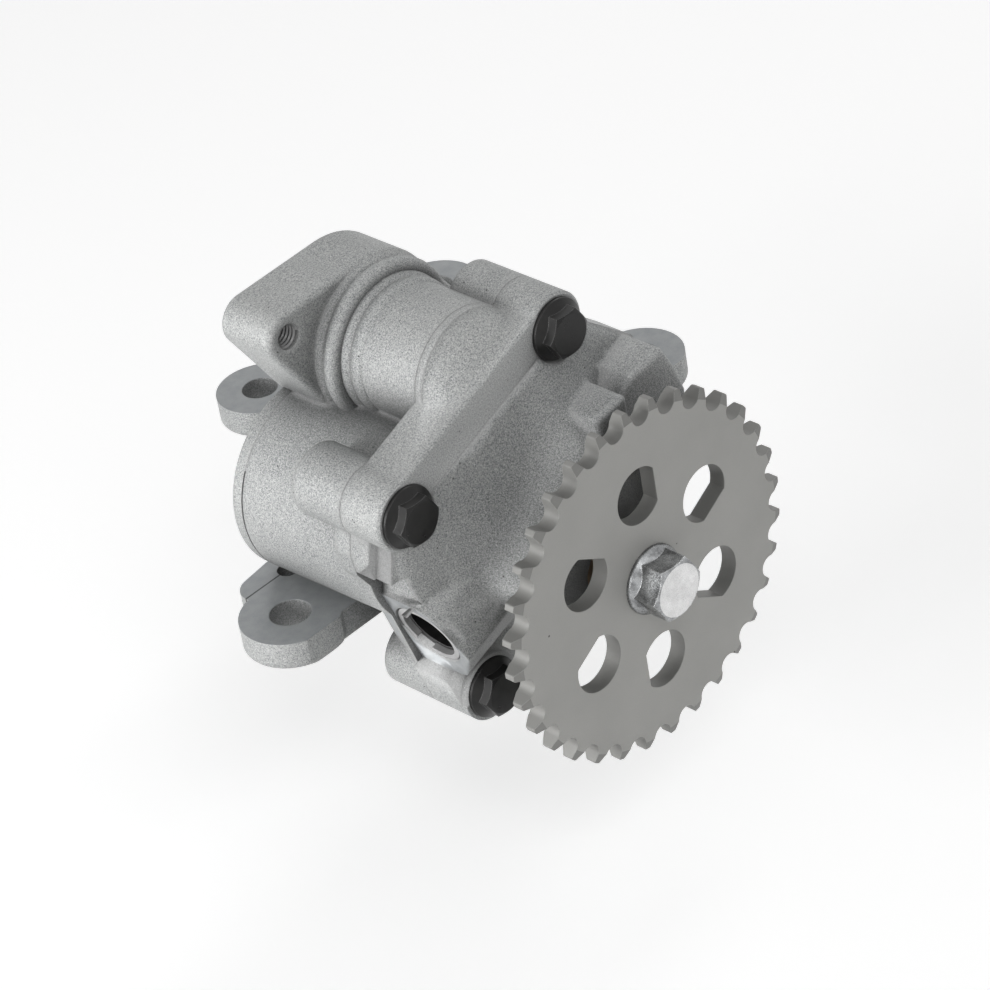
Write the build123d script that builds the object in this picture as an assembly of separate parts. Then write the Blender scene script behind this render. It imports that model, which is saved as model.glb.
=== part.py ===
from build123d import *
import math
import os

# Engine oil pump: an external gear pump under the crankcase, driven by a roller chain.
# Millimetres. The origin is on the drive shaft's axis, in the middle plane of the chain.
# X points right as the sprocket is seen, Y into the pump, Z up to the crankcase face at z = 0.

# Sprocket for an 8 mm pitch roller chain
CHAIN_PITCH = 8.0
SPROCKET_TEETH = 32
SPROCKET_THICKNESS = 4.2
SPROCKET_TIP_R = 42.75
ROLLER_SEAT_R = 2.6
TOOTH_GAP_FLARE = 1.75
TOOTH_TIP_ROUND = 0.4
TOOTH_BEVEL_DEPTH = 2.4
TOOTH_BEVEL_RISE = 0.9
LIGHTENING_HOLES = 6
LIGHTENING_HOLE_R = 6.7
LIGHTENING_CIRCLE_R = 21.87
LIGHTENING_FLAT = 5.2

# Drive shaft, its nose for the sprocket and its key
SHAFT_R = 7.0
SHAFT_NOSE_R = 5.6
SHAFT_NOSE_FLAT = 4.6
SHAFT_REAR_Y = 69.2
SHAFT_CHAMFER = 0.6
KEY_WIDTH = 4.0
KEY_HEIGHT = 4.0
KEY_LENGTH = 16.0
RUNNING_CLEARANCE = 0.03
SEAT_CLEARANCE = 0.01

# Pump gears
GEAR_MODULE = 3.0
GEAR_TEETH = 11
GEAR_PRESSURE_ANGLE = 27.0
GEAR_ADDENDUM = 3.0
GEAR_DEDENDUM = 3.45
GEAR_BACKLASH = 0.12
GEAR_SIDE_GAP = 0.05
GEAR_TIP_GAP = 0.06
IDLER_X = -27.46
IDLER_Z = 18.3
PIN_R = 6.0
BUSH_WALL = 2.0

# Planes across the pump, along the shaft
NOSE_FRONT_Y = 5.5
BOLT_SEAT_Y = 20.0
SPLIT_Y = 31.5
POCKET_FRONT_Y = 42.0
REAR_JOINT_Y = 69.5
COVER_THICKNESS = 2.9
FLANGE_FRONT_Y = 58.5
FLANGE_REAR_Y = 73.0

# Front bearing
FRONT_RECESS_DEPTH = 3.0
FRONT_RECESS_R = 12.5
FRONT_BUSH_LENGTH = 16.0

# Nose of the front housing. Each circle is x, z and radius.
NOSE_CENTRE = (-10.0, 15.0)
NOSE_FRONT = [(0, 0, 14.5), (-27.0, 8.0, 3.0), (-14.0, 14.0, 9.5), (0, 24.0, 11.0)]
NOSE_BACK = [(4.1, 54.8, 2.5), (-45.5, 36.2, 2.5), (-47.5, 20.0, 3.0), (-44.5, 12.0, 2.0),
             (0, 0, 20.0), (24.5, 38.0, 2.5), (27.5, 27.0, 3.0)]
# Each section is a plane along Y and its share of the way from the front outline to the back one.
NOSE_SECTIONS = [(21.6, 1.0), (19.6, 0.80), (17.8, 0.50), (15.0, 0.24), (11.5, 0.08),
                 (8.0, 0.0), (NOSE_FRONT_Y, -0.10)]
NOSE_POINTS = 24
PLATE = [(4.1, 54.8, 3.2), (-45.5, 36.2, 3.2), (-49.0, 20.0, 3.2), (-45.3, 12.5, 2.0),
         (-31.3, -18.2, 7.9), (0, 0, 21.5), (24.5, 38.0, 2.8), (27.5, 27.0, 3.0)]
PLATE_FRONT_Y = 21.4
PAD = [(-45.0, 33.5), (-51.6, 33.0), (-53.2, 26.0), (-52.4, 20.5), (-47.4, 12.6), (-42.0, 20.0)]
PAD_FRONT_Y = 26.0
PAD_REAR_Y = 36.2
# Two steps beside the chain, each an outline and the plane of its front
SHELF = [(-1.3, 38.9), (8.3, 40.6), (8.8, 18.0), (-2.0, 18.0)]
SHELF_FRONT_Y = NOSE_FRONT_Y + 0.3
SHOULDER = [(13.6, 40.2), (24.2, 41.8), (27.4, 35.0), (29.6, 28.0), (27.0, 12.0), (6.0, 8.0),
            (6.0, 33.0), (9.6, 36.4)]
SHOULDER_FRONT_Y = 9.6
STEP_ROUND = 1.3

# Rib between the two upper bolts: how far its edges lie above and below the line of the bolts
RIB_ABOVE = 7.4
RIB_BELOW = 1.4
RIB_CHAMFER = 0.6

# Housing bolts, black M6 with a hexagon flange head: place, boss radius and where each boss ends
HOUSING_BOLTS = [(4.1, 54.8, 8.2, 44.5), (-45.5, 36.2, 8.3, 46.0), (-31.3, -18.2, 8.0, 45.0)]
M6_R = 3.0
M6_CLEAR_R = 3.3
M6_HEAD_ACROSS = 10.0
M6_HEAD_HEIGHT = 4.5
M6_FLANGE_R = 7.1
M6_FLANGE_HEIGHT = 1.3
HOUSING_BOLT_REACH = 11.0
SPOT_FACE_GAP = 0.4

# Sprocket bolt, zinc plated M8
M8_R = 4.0
M8_HEAD_ACROSS = 13.0
M8_HEAD_HEIGHT = 8.0
M8_FLANGE_R = 8.1
M8_FLANGE_HEIGHT = 1.5
M8_REACH = 22.0

# Dowels between the two castings, and the screws of the rear cover
DOWEL_R = 3.5
DOWEL_WALL = 1.0
DOWEL_HALF = 4.0
DOWELS = [(-36.0, 30.5), (12.0, -12.0)]
COVER_SCREW_R = 2.5
COVER_SCREW_REACH = 6.0
COVER_SCREW_HEAD_ACROSS = 8.0
COVER_SCREW_HEAD_HEIGHT = 5.2
COVER_SCREW_FLANGE_R = 5.6
COVER_SCREW_FLANGE_HEIGHT = 1.1
COVER_BOSS_R = 6.0
# Each screw: the gear centre it is placed from, its direction and how far past the lobe it lies
COVER_SCREW_PLACES = [((0, 0), 60.0, 3.1), ((0, 0), -40.4, 3.4), ((0, 0), -103.0, 3.8),
                      ((IDLER_X, IDLER_Z), -95.2, 5.07)]
COVER_NOTCH = (-37.0, 2.0)

# Relief valve: its axis leaves the housing to the lower left
RELIEF_X = -43.7
RELIEF_Y = 22.9
RELIEF_Z = 2.55
RELIEF_TILT = 19.5
RELIEF_BORE_R = 6.7
RELIEF_BORE_DEPTH = 30.0
RELIEF_MOUTH_R = 8.6
RELIEF_MOUTH_DEPTH = 2.4
# The boss round it, seen along the axis: along Y, downwards and radius of each corner
RELIEF_BOSS = [(-9.1, 3.2, 1.5), (-3.0, 8.2, 4.4), (7.0, 6.8, 6.2), (10.3, -8.6, 2.5),
               (-0.6, -3.7, 6.6)]
RELIEF_BOSS_LENGTH = 24.0
RELIEF_TAIL_Y = 44.0
PISTON_LENGTH = 12.0
PISTON_FLOOR = 2.5
PISTON_WALL = 1.8
SPRING_WIRE_R = 0.65
SPRING_GAP = 0.35
SPRING_TURNS = 8
SEAT_LENGTH = 6.2
SEAT_FLOOR = 1.4
SEAT_WALL = 0.7
SEAT_HOLE_R = 2.4
SEAT_COLLAR = 0.6
RETAINER_THICKNESS = 1.5
RETAINER_WIDTH = 1.3
RETAINER_RELIEF = 0.45
RETAINER_GAP = 4.0

# Feet on the crankcase face: x, y, radius and hole radius
FOOT_THICKNESS = 7.0
FOOT_NEAR_LEFT = (-52.4, 57.3, 11.6, 4.7)
FOOT_FAR_LEFT = (5.6, 127.9, 10.5, 4.3)
FOOT_FAR_RIGHT = (60.0, 122.9, 11.0, 4.3)
FOOT_NEAR_RIGHT = (63.5, 59.6, 11.0, 4.7)
FOOT_FLAT = 10.4
FOOT_ROUND = 1.2
BOLT_HEAD_R = 8.6
DOWEL_HOLE = (-41.5, 69.3, 6.3, 2.5)
DOWEL_FOOT_END = (-49.2, 69.4, 5.2)
RAIL_X = 36.0
RAIL_FRONT_Y = 42.0
RAIL_CORNER_Y = 112.0
RAIL_END = (24.0, 124.0)
RAIL_WIDTH = 13.0
RAIL_RIB_WIDTH = 5.0
RAIL_RIB_HEIGHT = 7.0

# Suction duct and its flange
DUCT_X = -13.0
DUCT_Z = 49.8
DUCT_R = 15.0
DUCT_BORE_R = 10.5
DUCT_FLOOR_Y = POCKET_FRONT_Y
FLANGE_R = 19.2
FLANGE_TIP_R = 5.7
FLANGE_RIGHT_TIP_R = 7.0
FLANGE_HOLE_OFFSET_X = 23.6
FLANGE_HOLE_OFFSET_Z = 12.9
FLANGE_ROUND = 1.5

# Outlet gallery under the drive gear
GALLERY_Y = 57.0
GALLERY_Z = -28.8
GALLERY_R = 8.6
GALLERY_BORE_R = 5.5
GALLERY_START_X = -14.0
OUTLET_X = 34.0
OUTLET_R = 9.5
OUTLET_BORE_R = 6.0
OUTLET_PORT_DEPTH = 16.0
OUTLET_DRILL_R = 5.0

# The casting round the gears
LOBE_R = 22.85
LOBE_DRAFT = 1.2

GEAR_LINE = math.degrees(math.atan2(IDLER_Z, IDLER_X))
GEAR_TIP_R = GEAR_MODULE * GEAR_TEETH / 2 + GEAR_ADDENDUM
POCKET_R = GEAR_TIP_R + GEAR_TIP_GAP
SPROCKET_HALF = SPROCKET_THICKNESS / 2
FRONT_BUSH_Y0 = NOSE_FRONT_Y + FRONT_RECESS_DEPTH
BUSH_OUTER_R = SHAFT_R + RUNNING_CLEARANCE + BUSH_WALL
KEY_Y0 = (POCKET_FRONT_Y + REAR_JOINT_Y - KEY_LENGTH) / 2
PIN_Y0 = SPLIT_Y + 1.5
PISTON_INNER = 1.0 - RELIEF_BORE_DEPTH
PISTON_OUTER = PISTON_INNER + PISTON_LENGTH
SEAT_OUTER = SEAT_COLLAR - RELIEF_MOUTH_DEPTH
SEAT_INNER = SEAT_OUTER - SEAT_LENGTH
RIB_RUN = (HOUSING_BOLTS[0][0] - HOUSING_BOLTS[1][0], HOUSING_BOLTS[0][1] - HOUSING_BOLTS[1][1])
RIB_ANGLE = math.degrees(math.atan2(RIB_RUN[1], RIB_RUN[0]))
COVER_SCREWS = [(x + (LOBE_R + past) * math.cos(math.radians(angle)),
                 z + (LOBE_R + past) * math.sin(math.radians(angle)))
                for (x, z), angle, past in COVER_SCREW_PLACES]
PAST = 1.0


def ring_xz(x, z, r):
    return Pos(x, z) * Circle(r)


def along_y(sketch, y0, y1):
    """Extrude a sketch drawn in X and Z from y0 to y1."""
    return extrude(Plane.XZ.offset(-y1) * sketch, amount=y1 - y0)


def rod(x, z, r, y0, y1):
    return along_y(ring_xz(x, z, r), y0, y1)


def hull_xz(circles):
    """The rubber band round some circles, each given as x, z and radius."""
    edges = []
    for x, z, r in circles:
        edges += ring_xz(x, z, r).edges()
    return make_hull(edges)


def drafted(circles, y0, y1, draft):
    """A cast wall round some circles that narrows by a draft angle towards y0."""
    inset = (y1 - y0) * math.tan(math.radians(draft))
    front = hull_xz([(x, z, r - inset) for x, z, r in circles])
    return loft([Plane.XZ.offset(-y0) * front, Plane.XZ.offset(-y1) * hull_xz(circles)],
                ruled=True)


def upright(x, y, r, z0, z1):
    return Pos(x, y, (z0 + z1) / 2) * Cylinder(r, z1 - z0)


def bar(p, q, r):
    """A round bar from one point to another."""
    start = Vector(*p)
    run = Vector(*q) - start
    return extrude(Plane(origin=start, z_dir=run) * Circle(r), amount=run.length)


def before(y):
    """All the space in front of a plane across the shaft."""
    return Pos(0, y - 150, 0) * Box(400, 300, 400)


def behind(y):
    return Pos(0, y + 150, 0) * Box(400, 300, 400)


def reach(circles, centre, angle):
    """How far the band round some circles lies from a centre inside it, in one direction."""
    best = None
    for step in range(180):
        normal = math.radians(step * 2)
        spread = math.cos(angle - normal)
        if spread < 0.05:
            continue
        nx, nz = math.cos(normal), math.sin(normal)
        height = max(x * nx + z * nz + r for x, z, r in circles)
        distance = (height - centre[0] * nx - centre[1] * nz) / spread
        if best is None or distance < best:
            best = distance
    return best


def sprocket():
    pitch_r = CHAIN_PITCH / 2 / math.sin(math.pi / SPROCKET_TEETH)
    flare_r = ROLLER_SEAT_R + TOOTH_GAP_FLARE
    gap = make_hull((Pos(pitch_r, 0) * Circle(ROLLER_SEAT_R)).edges()
                    + (Pos(SPROCKET_TIP_R + flare_r, 0) * Circle(flare_r + TOOTH_TIP_ROUND)).edges())
    disc = Circle(SPROCKET_TIP_R)
    for tooth in range(SPROCKET_TEETH):
        disc -= Rot(0, 0, 360 / SPROCKET_TEETH * (tooth + 0.5)) * gap
    tips = [v for v in disc.vertices()
            if Vector(v.X, v.Y, 0).length > SPROCKET_TIP_R - TOOTH_TIP_ROUND / 4]
    disc = fillet(tips, TOOTH_TIP_ROUND)
    for hole in range(LIGHTENING_HOLES):
        angle = 90 - 360 / LIGHTENING_HOLES * hole
        shape = Circle(LIGHTENING_HOLE_R)
        flat = Pos(0, -LIGHTENING_FLAT - LIGHTENING_HOLE_R) * Rectangle(
            4 * LIGHTENING_HOLE_R, 2 * LIGHTENING_HOLE_R)
        disc -= Rot(0, 0, angle) * Pos(LIGHTENING_CIRCLE_R, 0) * (shape - flat)
    disc -= nose_profile(SEAT_CLEARANCE)
    plate = along_y(disc, -SPROCKET_HALF, SPROCKET_HALF)
    rim = SPROCKET_TIP_R - TOOTH_BEVEL_DEPTH
    outer = SPROCKET_TIP_R + SEAT_CLEARANCE
    edge = SPROCKET_HALF - TOOTH_BEVEL_RISE
    blank = revolve(Plane.XY * Polygon(
        (0, -SPROCKET_HALF), (rim, -SPROCKET_HALF), (outer, -edge),
        (outer, edge), (rim, SPROCKET_HALF), (0, SPROCKET_HALF), align=None), axis=Axis.Y)
    return plate & blank


def nose_profile(clearance):
    """The flatted end of the drive shaft that turns the sprocket."""
    band = Rectangle(4 * SHAFT_NOSE_R, 2 * (SHAFT_NOSE_FLAT + clearance))
    return Circle(SHAFT_NOSE_R + clearance) & band


def hex_flange_bolt(radius, across, head, flange_r, flange, length):
    """A flange bolt at the origin: its seat is at y = 0 and its shank runs along +Y."""
    flat_r = across / 2
    corner_r = flat_r / math.cos(math.pi / 6)
    crown_r = flat_r * 0.95
    hexagon = RegularPolygon(flat_r, 6, major_radius=False)
    body = along_y(hexagon, -head, -flange / 2)
    crown = revolve(Plane.XY * Polygon(
        (0, -head), (crown_r, -head), (corner_r, -head + (corner_r - crown_r) * 0.6),
        (corner_r, 0), (0, 0), align=None), axis=Axis.Y)
    skirt = revolve(Plane.XY * Polygon(
        (0, -flange * 1.7), (flat_r, -flange * 1.7), (flange_r * 0.985, -flange * 0.6),
        (flange_r, -flange * 0.4), (flange_r, 0), (0, 0), align=None), axis=Axis.Y)
    shank = rod(0, 0, radius, 0, length)
    shank = chamfer(shank.faces().sort_by(Axis.Y)[-1].edges(), radius * 0.2)
    return (body & crown) + skirt + shank


def gear(tooth_angle):
    """A spur gear along Y with one tooth centred on the given direction."""
    pitch_r = GEAR_MODULE * GEAR_TEETH / 2
    base_r = pitch_r * math.cos(math.radians(GEAR_PRESSURE_ANGLE))
    root_r = pitch_r - GEAR_DEDENDUM
    involute = math.tan(math.radians(GEAR_PRESSURE_ANGLE)) - math.radians(GEAR_PRESSURE_ANGLE)
    half_pitch = math.pi / 2 / GEAR_TEETH - GEAR_BACKLASH / 4 / pitch_r
    flank = []
    for step in range(6):
        r = base_r + (GEAR_TIP_R - base_r) * step / 5
        slope = math.acos(min(1.0, base_r / r))
        spread = half_pitch + involute - (math.tan(slope) - slope)
        flank.append((r, spread))
    foot = flank[0][1]
    left = [(r * math.cos(a), r * math.sin(a)) for r, a in flank]
    right = [(x, -y) for x, y in reversed(left)]
    root_left = ((root_r - 0.5) * math.cos(foot), (root_r - 0.5) * math.sin(foot))
    root_right = (root_left[0], -root_left[1])
    tip_arc = ThreePointArc(left[-1], (GEAR_TIP_R, 0), right[0])
    outline = [Line(root_left, left[0]), Spline(*left), tip_arc, Spline(*right),
               Line(right[-1], root_right), Line(root_right, root_left)]
    tooth = make_face(Wire(outline))
    blank = Circle(root_r)
    for number in range(GEAR_TEETH):
        blank += Rot(0, 0, tooth_angle + 360 / GEAR_TEETH * number) * tooth
    return blank


def drive_gear():
    sketch = gear(GEAR_LINE + 180 / GEAR_TEETH) - Circle(SHAFT_R + SEAT_CLEARANCE)
    keyway = Pos(0, SHAFT_R) * Rectangle(
        KEY_WIDTH + 2 * SEAT_CLEARANCE, KEY_HEIGHT + 2 * SEAT_CLEARANCE)
    return along_y(sketch - keyway, POCKET_FRONT_Y + GEAR_SIDE_GAP, REAR_JOINT_Y - GEAR_SIDE_GAP)


def idler_gear():
    sketch = gear(GEAR_LINE + 180) - Circle(PIN_R + RUNNING_CLEARANCE + BUSH_WALL)
    return along_y(Pos(IDLER_X, IDLER_Z) * sketch,
                   POCKET_FRONT_Y + GEAR_SIDE_GAP, REAR_JOINT_Y - GEAR_SIDE_GAP)


def idler_bush():
    inner = PIN_R + RUNNING_CLEARANCE
    sketch = ring_xz(IDLER_X, IDLER_Z, inner + BUSH_WALL) - ring_xz(IDLER_X, IDLER_Z, inner)
    return along_y(sketch, POCKET_FRONT_Y + 2 * GEAR_SIDE_GAP, REAR_JOINT_Y - 2 * GEAR_SIDE_GAP)


def shaft_bush(y0, y1):
    return along_y(Circle(BUSH_OUTER_R) - Circle(BUSH_OUTER_R - BUSH_WALL), y0, y1)


def front_shaft_bush():
    return shaft_bush(FRONT_BUSH_Y0, FRONT_BUSH_Y0 + FRONT_BUSH_LENGTH)


def body_shaft_bush():
    return shaft_bush(SPLIT_Y, POCKET_FRONT_Y)


def drive_key():
    return along_y(Pos(0, SHAFT_R) * Rectangle(KEY_WIDTH, KEY_HEIGHT), KEY_Y0, KEY_Y0 + KEY_LENGTH)


def idler_pin():
    return rod(IDLER_X, IDLER_Z, PIN_R, PIN_Y0, REAR_JOINT_Y)


def drive_shaft():
    shaft = rod(0, 0, SHAFT_R, SPROCKET_HALF, SHAFT_REAR_Y)
    shaft = chamfer(shaft.faces().sort_by(Axis.Y)[-1].edges(), SHAFT_CHAMFER)
    shaft += along_y(nose_profile(0), -SPROCKET_HALF + SHAFT_CHAMFER / 2, SPROCKET_HALF)
    shaft -= rod(0, 0, M8_R, -SPROCKET_HALF, M8_REACH + PAST)
    return shaft - drive_key()


def relief_plane(out=0.0):
    """A plane across the relief valve's axis, moved outwards along it from the end face."""
    tilt = math.radians(RELIEF_TILT)
    axis = Vector(-math.cos(tilt), 0, -math.sin(tilt))
    origin = Vector(RELIEF_X, RELIEF_Y, RELIEF_Z) + axis * out
    return Plane(origin=origin, x_dir=(0, 1, 0), z_dir=axis)


def relief_rod(r, inner, outer):
    """A round rod on the relief axis between two distances from the end face, outwards."""
    return extrude(relief_plane(inner) * Circle(r), amount=outer - inner)


def relief_wedge(inner, outer):
    """The relief valve's boss between two distances from its end face, outwards."""
    edges = []
    for y, down, r in RELIEF_BOSS:
        edges += (Pos(y, down) * Circle(r)).edges()
    return extrude(relief_plane(inner) * make_hull(edges), amount=outer - inner)


def relief_boss():
    """The boss round the relief valve and the pad above it, which the two castings share."""
    pad = along_y(make_face(Polyline(*PAD, close=True)), PAD_FRONT_Y, PAD_REAR_Y)
    return relief_wedge(-RELIEF_BOSS_LENGTH, 0) + pad


def relief_bore():
    bore = relief_rod(RELIEF_BORE_R, -RELIEF_BORE_DEPTH, PAST)
    return bore + relief_rod(RELIEF_MOUTH_R, -RELIEF_MOUTH_DEPTH, PAST)


def relief_drilling():
    """The oil way from the outlet side of the gears to the inner end of the relief valve."""
    return bar((-21.0, POCKET_FRONT_Y + 1, -2.0), (-19.0, RELIEF_Y + 2, 11.5), 2.0)


def nose():
    """The front bearing housing: it sweeps from the plate up to the hub's front face."""
    sections = []
    for y, share in NOSE_SECTIONS:
        points = []
        for step in range(NOSE_POINTS):
            angle = 2 * math.pi * step / NOSE_POINTS
            front = reach(NOSE_FRONT, NOSE_CENTRE, angle)
            back = reach(NOSE_BACK, NOSE_CENTRE, angle)
            r = front + (back - front) * share
            points.append((NOSE_CENTRE[0] + r * math.cos(angle),
                           NOSE_CENTRE[1] + r * math.sin(angle)))
        sections.append(Plane.XZ.offset(-y) * make_face(Spline(*points, periodic=True)))
    return loft(sections)


def step_block(outline, front_y):
    """A cast step with rounded edges that rises out of the nose."""
    shape = make_face(Polyline(*outline, close=True))
    shape = fillet(shape.vertices(), STEP_ROUND)
    block = along_y(shape, front_y, SPLIT_Y)
    return fillet(block.faces().sort_by(Axis.Y)[0].edges(), STEP_ROUND)


def rib():
    """The rib that joins the two upper bolt bosses, milled flat with them."""
    middle = Pos((HOUSING_BOLTS[0][0] + HOUSING_BOLTS[1][0]) / 2,
                 (HOUSING_BOLTS[0][1] + HOUSING_BOLTS[1][1]) / 2)
    height = RIB_ABOVE + RIB_BELOW
    band = middle * Rot(0, 0, RIB_ANGLE) * Pos(0, (RIB_ABOVE - RIB_BELOW) / 2) * Rectangle(
        math.hypot(*RIB_RUN), height)
    outline = band
    for x, z, r, _ in HOUSING_BOLTS[:2]:
        outline += ring_xz(x, z, r)
    block = along_y(outline, BOLT_SEAT_Y, SPLIT_Y)
    return chamfer(block.faces().sort_by(Axis.Y)[0].edges(), RIB_CHAMFER)


def duct_cap():
    """The closed front end of the suction duct, which slopes down to the rib."""
    place = Pos(DUCT_X, DUCT_Z) * Rot(0, 0, RIB_ANGLE)
    low = DUCT_R * 0.48
    mid = DUCT_R * 0.78
    sections = [
        Plane.XZ.offset(-BOLT_SEAT_Y - RIB_CHAMFER) * place * Pos(0, -1.4) * Ellipse(DUCT_R + 0.6, low),
        Plane.XZ.offset(-25.5) * place * Pos(0, -0.6) * Ellipse(DUCT_R + 0.2, mid),
        Plane.XZ.offset(-29.5) * place * Ellipse(DUCT_R - 0.15, DUCT_R - 0.3)]
    return loft(sections) + rod(DUCT_X, DUCT_Z, DUCT_R, 29.5, SPLIT_Y)


def front_housing():
    body = nose()
    body += along_y(hull_xz(PLATE), PLATE_FRONT_Y, SPLIT_Y)
    body += rib()
    body += duct_cap()
    x, z, r, _ = HOUSING_BOLTS[2]
    body += rod(x, z, r, BOLT_SEAT_Y, SPLIT_Y)
    body += step_block(SHELF, SHELF_FRONT_Y)
    body += step_block(SHOULDER, SHOULDER_FRONT_Y)
    body += relief_boss() - behind(SPLIT_Y)
    body -= relief_wedge(0, RELIEF_BOSS_LENGTH)
    mill = Pos((HOUSING_BOLTS[0][0] + HOUSING_BOLTS[1][0]) / 2,
               (HOUSING_BOLTS[0][1] + HOUSING_BOLTS[1][1]) / 2) * Rot(0, 0, RIB_ANGLE)
    mill *= Pos(0, (3 * RIB_ABOVE - RIB_BELOW) / 2) * Rectangle(
        math.hypot(*RIB_RUN), 3 * RIB_ABOVE + RIB_BELOW)
    body -= along_y(mill, NOSE_FRONT_Y - PAST, BOLT_SEAT_Y)
    for x, z, _, _ in HOUSING_BOLTS:
        body -= rod(x, z, M6_FLANGE_R + SPOT_FACE_GAP, NOSE_FRONT_Y - PAST, BOLT_SEAT_Y)
        body -= rod(x, z, M6_CLEAR_R, BOLT_SEAT_Y - PAST, SPLIT_Y + PAST)
    body -= rod(0, 0, FRONT_RECESS_R, NOSE_FRONT_Y - PAST, FRONT_BUSH_Y0)
    body -= rod(0, 0, BUSH_OUTER_R, NOSE_FRONT_Y, SPLIT_Y + PAST)
    body -= relief_bore()
    for x, z in DOWELS:
        body -= rod(x, z, DOWEL_R, SPLIT_Y - DOWEL_HALF, SPLIT_Y + PAST)
    return body - relief_drilling()


def flange_outline():
    return hull_xz([
        (DUCT_X, DUCT_Z, FLANGE_R),
        (DUCT_X - FLANGE_HOLE_OFFSET_X, DUCT_Z + FLANGE_HOLE_OFFSET_Z, FLANGE_TIP_R),
        (DUCT_X + FLANGE_HOLE_OFFSET_X, DUCT_Z - FLANGE_HOLE_OFFSET_Z, FLANGE_RIGHT_TIP_R)])


def suction_flange():
    """The flange plate and the throat that swells into it from the duct."""
    plate = along_y(flange_outline(), FLANGE_FRONT_Y, FLANGE_REAR_Y)
    plate = fillet(plate.faces().sort_by(Axis.Y)[0].edges(), FLANGE_ROUND)
    front = FLANGE_FRONT_Y
    curve = Spline((DUCT_R + 0.2, front - 7.6), (DUCT_R + 0.95, front - 6.6),
                   (DUCT_R + 1.1, front - 4.6), (DUCT_R + 1.85, front - 2.3),
                   (DUCT_R + 3.1, front - 0.75), (DUCT_R + 3.6, front + 0.6))
    throat = make_face([curve, Polyline(
        (DUCT_R + 3.6, front + 0.6), (DUCT_R + 3.6, front + 2.0), (0, front + 2.0),
        (0, front - 7.6), (DUCT_R + 0.2, front - 7.6))])
    return plate + Pos(DUCT_X, 0, DUCT_Z) * revolve(Plane.XY * throat, axis=Axis.Y)


def cover_outline(margin=0.0):
    """The rear cover's outline, or the machined land round it when given a margin."""
    outline = hull_xz([(0, 0, LOBE_R + margin), (IDLER_X, IDLER_Z, LOBE_R + margin)])
    for x, z in COVER_SCREWS:
        outline += ring_xz(x, z, COVER_BOSS_R + margin)
    notch_x, notch_z = COVER_NOTCH
    corner = Pos(notch_x - margin - LOBE_R, notch_z - margin - LOBE_R) * Rectangle(
        2 * LOBE_R, 2 * LOBE_R)
    return outline - ring_xz(DUCT_X, DUCT_Z, DUCT_BORE_R + 3.2 - margin) - corner


def rail(points, width, z0, z1):
    """A flat foot rail between points in the crankcase plane."""
    shape = None
    for (x0, y0), (x1, y1) in zip(points, points[1:]):
        run = Rot(0, 0, math.degrees(math.atan2(y1 - y0, x1 - x0))) * SlotCenterToCenter(
            math.hypot(x1 - x0, y1 - y0), width)
        part = Pos((x0 + x1) / 2, (y0 + y1) / 2) * run
        shape = part if shape is None else shape + part
    return extrude(Plane.XY.offset(z0) * shape, amount=z1 - z0)


def foot(place):
    """A round foot with a softened lower edge."""
    x, y, r, _ = place
    disc = upright(x, y, r, -FOOT_THICKNESS, 0)
    return fillet(disc.faces().sort_by(Axis.Z)[0].edges(), FOOT_ROUND)


def feet():
    """The feet and the rails that carry them, all with their tops in the crankcase plane."""
    base = foot(FOOT_NEAR_LEFT) + foot(FOOT_FAR_LEFT) + foot(FOOT_FAR_RIGHT)
    base += foot(FOOT_NEAR_RIGHT)
    dowel_edges = []
    for x, y, r in (DOWEL_HOLE[:3], DOWEL_FOOT_END):
        dowel_edges += (Pos(x, y) * Circle(r)).edges()
    base += extrude(Plane.XY.offset(-FOOT_THICKNESS) * make_hull(dowel_edges),
                    amount=FOOT_THICKNESS)
    inner_x = IDLER_X - PIN_R
    near_left = FOOT_NEAR_LEFT[:2]
    base += rail([near_left, (inner_x, near_left[1])], 19.0, -FOOT_THICKNESS, 0)
    base += rail([DOWEL_HOLE[:2], (inner_x, DOWEL_HOLE[1] - 3)], 12.0, -FOOT_THICKNESS, 0)
    long_rail = [(RAIL_X, RAIL_FRONT_Y), (RAIL_X, RAIL_CORNER_Y), RAIL_END, FOOT_FAR_LEFT[:2]]
    short_rail = [RAIL_END, FOOT_FAR_RIGHT[:2]]
    for points in (long_rail, short_rail):
        base += rail(points, RAIL_WIDTH, -FOOT_THICKNESS, 0)
        base += rail(points, RAIL_RIB_WIDTH, -FOOT_THICKNESS - RAIL_RIB_HEIGHT, 0)
    base += rail([(RAIL_X, FOOT_NEAR_RIGHT[1]), FOOT_NEAR_RIGHT[:2]], RAIL_WIDTH,
                 -FOOT_THICKNESS, 0)
    for x, y, r, _ in (FOOT_NEAR_LEFT, FOOT_NEAR_RIGHT):
        base -= Pos(x, y - FOOT_FLAT - r, -FOOT_THICKNESS / 2) * Box(
            3 * r, 2 * r, FOOT_THICKNESS + PAST)
    for x, y, _, _ in (FOOT_FAR_LEFT, FOOT_FAR_RIGHT):
        base -= upright(x, y, BOLT_HEAD_R, -FOOT_THICKNESS - 2 * RAIL_RIB_HEIGHT, -FOOT_THICKNESS)
    return base


def gallery(r):
    """The oil gallery from the gears to the outlet, as a casting or as its bore."""
    start = (GALLERY_START_X, GALLERY_Y, GALLERY_Z)
    tube = bar(start, (OUTLET_X, GALLERY_Y, GALLERY_Z), r)
    tube += Pos(*start) * Sphere(r)
    return tube + bar(start, (GALLERY_START_X - 4.0, GALLERY_Y, GALLERY_Z + 22.0), r)


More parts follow.
